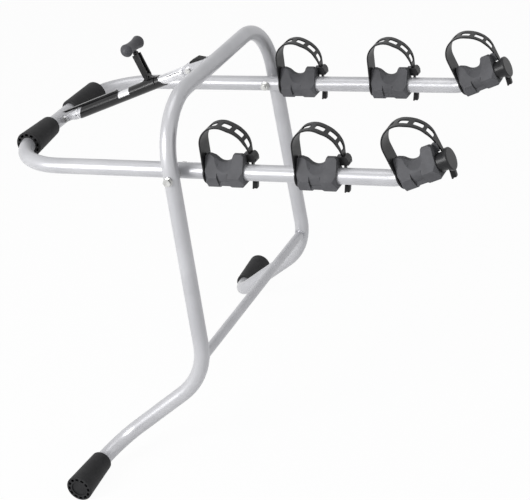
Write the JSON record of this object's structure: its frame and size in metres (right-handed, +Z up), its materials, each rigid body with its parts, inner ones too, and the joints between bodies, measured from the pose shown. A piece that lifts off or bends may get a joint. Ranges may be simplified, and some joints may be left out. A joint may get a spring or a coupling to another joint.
{
  "type": "trunk mounted bike rack",
  "caption": "Folding car boot bicycle rack: bent tube frame, carrying arms on a pivot, telescoping strut with a lever, tube cradles with rubber straps, and rubber pads.",
  "frame": {"origin": "middle of the axis that the carrying arms turn about, between the two main pivots", "axes": "+X runs out along the arms, away from the car; +Y runs across the car, from the near arm to the far arm; +Z is up"},
  "size_m": [0.8644, 0.874, 0.7109],
  "materials": {
    "frame_paint": "silver grey powder coat, satin",
    "pad_rubber": "matt charcoal rubber",
    "zinc_steel": "zinc plated",
    "strut_black": "gloss black",
    "strut_grey": "satin grey",
    "strut_bright": "bright plated",
    "cradle_plastic": "slate grey moulding",
    "strap_rubber": "near black rubber",
    "cap_plastic": "dark grey moulding",
    "grip_plastic": "dark grey moulding"
  },
  "bodies": {
    "main_frame": {"frame_tube": "frame_paint", "lower_crossbar": "frame_paint", "foot_pad_near": "pad_rubber", "foot_pad_far": "pad_rubber", "pivot_bolts": "zinc_steel", "pivot_nuts": "zinc_steel", "pivot_washers": "zinc_steel", "pivot_spacers": "zinc_steel", "strut_bracket": "frame_paint", "bracket_cap": "strut_black", "strut_top_bolt": "zinc_steel", "strut_top_nut": "zinc_steel"},
    "arms": {"arm_tube": "frame_paint", "base_pad_near": "pad_rubber", "base_pad_far": "pad_rubber", "base_lug": "frame_paint", "strut_base_bolt": "zinc_steel", "strut_base_nut": "zinc_steel", "cradle_near_1": "cradle_plastic", "cradle_near_2": "cradle_plastic", "cradle_near_3": "cradle_plastic", "cradle_far_1": "cradle_plastic", "cradle_far_2": "cradle_plastic", "cradle_far_3": "cradle_plastic", "cradle_screws": "zinc_steel", "end_cap_near": "cap_plastic", "end_cap_far": "cap_plastic"},
    "strut_body": {"strut_ferrule": "strut_grey", "strut_outer": "strut_black", "strut_rail": "strut_black", "lever_mount": "strut_black", "lever_pin": "zinc_steel"},
    "strut_slider": {"strut_inner": "strut_bright"},
    "lever": {"lever_channel": "strut_black", "lever_rod": "zinc_steel", "lever_grip": "grip_plastic"},
    "strap_body_near_1": {"strap_near_1": "strap_rubber"},
    "strap_body_near_2": {"strap_near_2": "strap_rubber"},
    "strap_body_near_3": {"strap_near_3": "strap_rubber"},
    "strap_body_far_1": {"strap_far_1": "strap_rubber"},
    "strap_body_far_2": {"strap_far_2": "strap_rubber"},
    "strap_body_far_3": {"strap_far_3": "strap_rubber"}
  },
  "joints": [
    {"name": "arms_fold", "type": "hinge", "parent": "main_frame", "child": "arms", "pos_m": [0, 0, 0], "axis": [0, -1, 0], "range_deg": [-10, 16]},
    {"name": "strut_swing", "type": "hinge", "parent": "arms", "child": "strut_body", "pos_m": [-0.3325, 0, 0.0046], "axis": [0, -1, 0], "range_deg": [-0.24, 0.38]},
    {"name": "strut_slide", "type": "slide", "parent": "strut_body", "child": "strut_slider", "axis": [0.9394, 0, 0.3428], "range_m": [-0.0212, 0.034]},
    {"name": "lever_turn", "type": "hinge", "parent": "strut_body", "child": "lever", "pos_m": [-0.14516, 0, 0.09213], "axis": [0, -1, 0], "range_deg": [0, 70]},
    {"name": "strap_near_1_turn", "type": "hinge", "parent": "arms", "child": "strap_body_near_1", "pos_m": [0.053, -0.2055, 0], "axis": [-1, 0, 0], "range_deg": [0, 100]},
    {"name": "strap_near_2_turn", "type": "hinge", "parent": "arms", "child": "strap_body_near_2", "pos_m": [0.219, -0.2055, 0], "axis": [-1, 0, 0], "range_deg": [0, 100]},
    {"name": "strap_near_3_turn", "type": "hinge", "parent": "arms", "child": "strap_body_near_3", "pos_m": [0.39642, -0.2055, 0.003], "axis": [-0.9272, 0, -0.3746], "range_deg": [0, 100]},
    {"name": "strap_far_1_turn", "type": "hinge", "parent": "arms", "child": "strap_body_far_1", "pos_m": [0.031, 0.2055, 0], "axis": [-1, 0, 0], "range_deg": [0, 100]},
    {"name": "strap_far_2_turn", "type": "hinge", "parent": "arms", "child": "strap_body_far_2", "pos_m": [0.214, 0.2055, 0], "axis": [-1, 0, 0], "range_deg": [0, 100]},
    {"name": "strap_far_3_turn", "type": "hinge", "parent": "arms", "child": "strap_body_far_3", "pos_m": [0.38742, 0.2055, 0.003], "axis": [-0.9272, 0, -0.3746], "range_deg": [0, 100]}
  ],
  "couplings": [
    {"joint": "strut_swing", "follows": "arms_fold", "ratio": 0.0225},
    {"joint": "strut_slide", "follows": "arms_fold", "m_per_rad": 0.11975}
  ]
}
